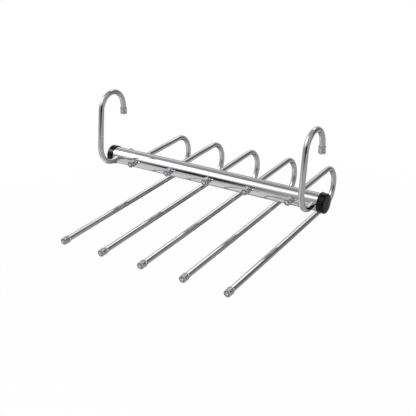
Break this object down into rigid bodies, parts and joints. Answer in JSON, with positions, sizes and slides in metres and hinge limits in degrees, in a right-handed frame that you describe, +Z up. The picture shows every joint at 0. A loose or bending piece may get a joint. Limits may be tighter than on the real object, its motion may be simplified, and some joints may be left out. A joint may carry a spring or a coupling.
{
  "type": "multi tier trouser hanger",
  "caption": "Polished steel trouser hanger: a cross tube with swivelling rail hooks at its ends and a row of U-bent arms that swing under it, with plastic end caps.",
  "frame": {"origin": "on the common axis of the two hook arches, where a wardrobe rail lies, halfway between the hooks", "axes": "+X along the cross tube to the right as seen from the arms' open ends; +Y from the open ends of the arms towards their bends; +Z up, as it hangs flat from a rail"},
  "size_m": [0.36, 0.316, 0.1718],
  "materials": {
    "polished_steel": "polished stainless steel tube, bright, with faint drawing lines",
    "black_plastic": "glossy black moulded plastic",
    "clear_cap": "clear soft vinyl with a faint lavender cast"
  },
  "bodies": {
    "cross_tube": {"main_tube": "polished_steel", "left_end_cap": "black_plastic", "right_end_cap": "black_plastic"},
    "left_hook": {"left_hook": "polished_steel", "left_hook_tip_cap": "clear_cap", "left_hook_pin_cap": "clear_cap"},
    "right_hook": {"right_hook": "polished_steel", "right_hook_tip_cap": "clear_cap", "right_hook_pin_cap": "clear_cap"},
    "arm_1": {"arm_1": "polished_steel", "arm_1_tip_cap": "clear_cap", "arm_1_stub_cap": "clear_cap"},
    "arm_2": {"arm_2": "polished_steel", "arm_2_tip_cap": "clear_cap", "arm_2_stub_cap": "clear_cap"},
    "arm_3": {"arm_3": "polished_steel", "arm_3_tip_cap": "clear_cap", "arm_3_stub_cap": "clear_cap"},
    "arm_4": {"arm_4": "polished_steel", "arm_4_tip_cap": "clear_cap", "arm_4_stub_cap": "clear_cap"},
    "arm_5": {"arm_5": "polished_steel", "arm_5_tip_cap": "clear_cap", "arm_5_stub_cap": "clear_cap"}
  },
  "joints": [
    {"name": "left_hook_swivel", "type": "hinge", "parent": "cross_tube", "child": "left_hook", "pos_m": [-0.162, 0.01531, -0.07912], "axis": [0, -1, 0], "range_deg": [-76, 180]},
    {"name": "right_hook_swivel", "type": "hinge", "parent": "cross_tube", "child": "right_hook", "pos_m": [0.162, 0.01531, -0.07912], "axis": [0, 1, 0], "range_deg": [-76, 180]},
    {"name": "arm_1_swing", "type": "hinge", "parent": "cross_tube", "child": "arm_1", "pos_m": [-0.13, 0.01531, -0.07912], "axis": [0, 1, 0], "range_deg": [-73, 130]},
    {"name": "arm_2_swing", "type": "hinge", "parent": "cross_tube", "child": "arm_2", "pos_m": [-0.065, 0.01531, -0.07912], "axis": [0, 1, 0], "range_deg": [-73, 73]},
    {"name": "arm_3_swing", "type": "hinge", "parent": "cross_tube", "child": "arm_3", "pos_m": [0, 0.01531, -0.07912], "axis": [0, 1, 0], "range_deg": [-73, 73]},
    {"name": "arm_4_swing", "type": "hinge", "parent": "cross_tube", "child": "arm_4", "pos_m": [0.065, 0.01531, -0.07912], "axis": [0, 1, 0], "range_deg": [-73, 73]},
    {"name": "arm_5_swing", "type": "hinge", "parent": "cross_tube", "child": "arm_5", "pos_m": [0.13, 0.01531, -0.07912], "axis": [0, 1, 0], "range_deg": [-130, 73]}
  ]
}
